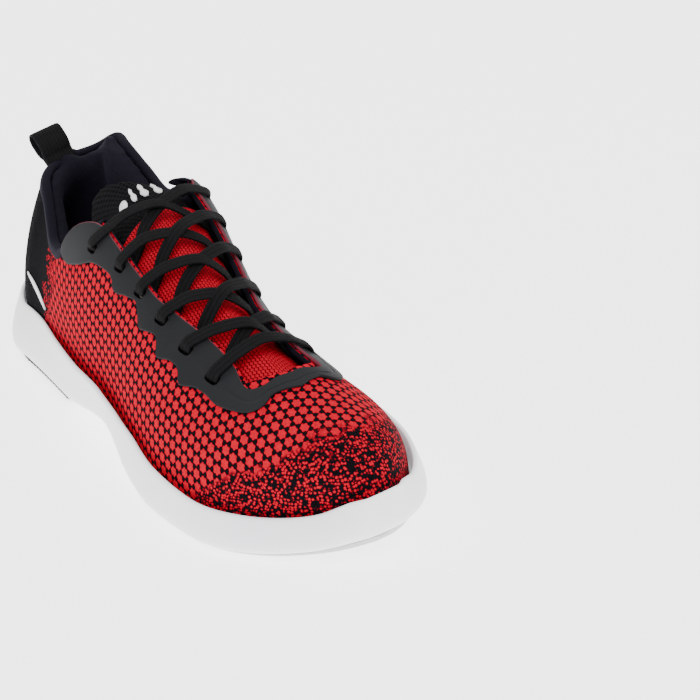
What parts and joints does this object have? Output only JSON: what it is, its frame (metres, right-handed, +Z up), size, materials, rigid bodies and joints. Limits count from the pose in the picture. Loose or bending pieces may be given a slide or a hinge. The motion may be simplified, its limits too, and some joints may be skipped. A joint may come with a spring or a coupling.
{
  "type": "bowling shoe",
  "caption": "Low-cut lace-up bowling shoe for the right foot: knitted upper, padded collar, white moulded sole, suede-like slide pad under the forefoot, grooved rubber heel pad.",
  "frame": {"origin": "on the ground under the middle of the shoe's bounding box", "axes": "+Z up, +Y towards the heel, -Y towards the toe, +X towards the medial side of the foot, -X towards the lateral side"},
  "size_m": [0.114, 0.2986, 0.1103],
  "materials": {
    "white_foam": "satin moulded foam",
    "black_rubber": "matte",
    "slide_suede": "short napped microfibre",
    "blue_stripe": "matte",
    "board": "matte",
    "sock_cloth": "brushed cloth",
    "red_knit": "knitted",
    "stiffener": "matte",
    "lining": "brushed cloth",
    "grey_overlay": "smooth film",
    "white_print": "satin",
    "fine_knit": "fine knit",
    "tongue_mesh": "spacer mesh",
    "lace_cord": "woven",
    "aglet_film": "gloss",
    "webbing": "woven ribs"
  },
  "bodies": {
    "shoe": {"midsole": "white_foam", "heel_pad": "black_rubber", "slide_pad": "slide_suede", "flex_stripe_1": "blue_stripe", "flex_stripe_2": "blue_stripe", "flex_stripe_3": "blue_stripe", "flex_stripe_4": "blue_stripe", "lasting_board": "board", "upper_knit": "red_knit", "toe_puff": "stiffener", "heel_counter": "stiffener", "collar_padding": "lining", "eyestay": "grey_overlay", "heel_bar_lateral": "white_print", "heel_bar_medial": "white_print", "tongue_lower": "fine_knit", "lace": "lace_cord", "aglet_lateral": "aglet_film", "aglet_medial": "aglet_film"},
    "insole": {"insole": "sock_cloth"},
    "tongue": {"tongue_top": "tongue_mesh", "tongue_mark": "white_print"},
    "tab": {"pull_tab": "webbing"}
  },
  "joints": [
    {"name": "insole_lift", "type": "hinge", "parent": "shoe", "child": "insole", "pos_m": [0.003, -0.133, 0.0167], "axis": [1, 0, 0], "range_deg": [0, 4]},
    {"name": "tongue_bend", "type": "hinge", "parent": "shoe", "child": "tongue", "pos_m": [0.0065, 0.048, 0.0985], "axis": [1, 0, 0], "range_deg": [-4, 28], "stiffness_Nm_per_rad": 0.05},
    {"name": "tab_bend", "type": "hinge", "parent": "shoe", "child": "tab", "pos_m": [0.0095, 0.1328, 0.0984], "axis": [1, 0, 0], "range_deg": [-16, 14], "stiffness_Nm_per_rad": 0.02}
  ]
}
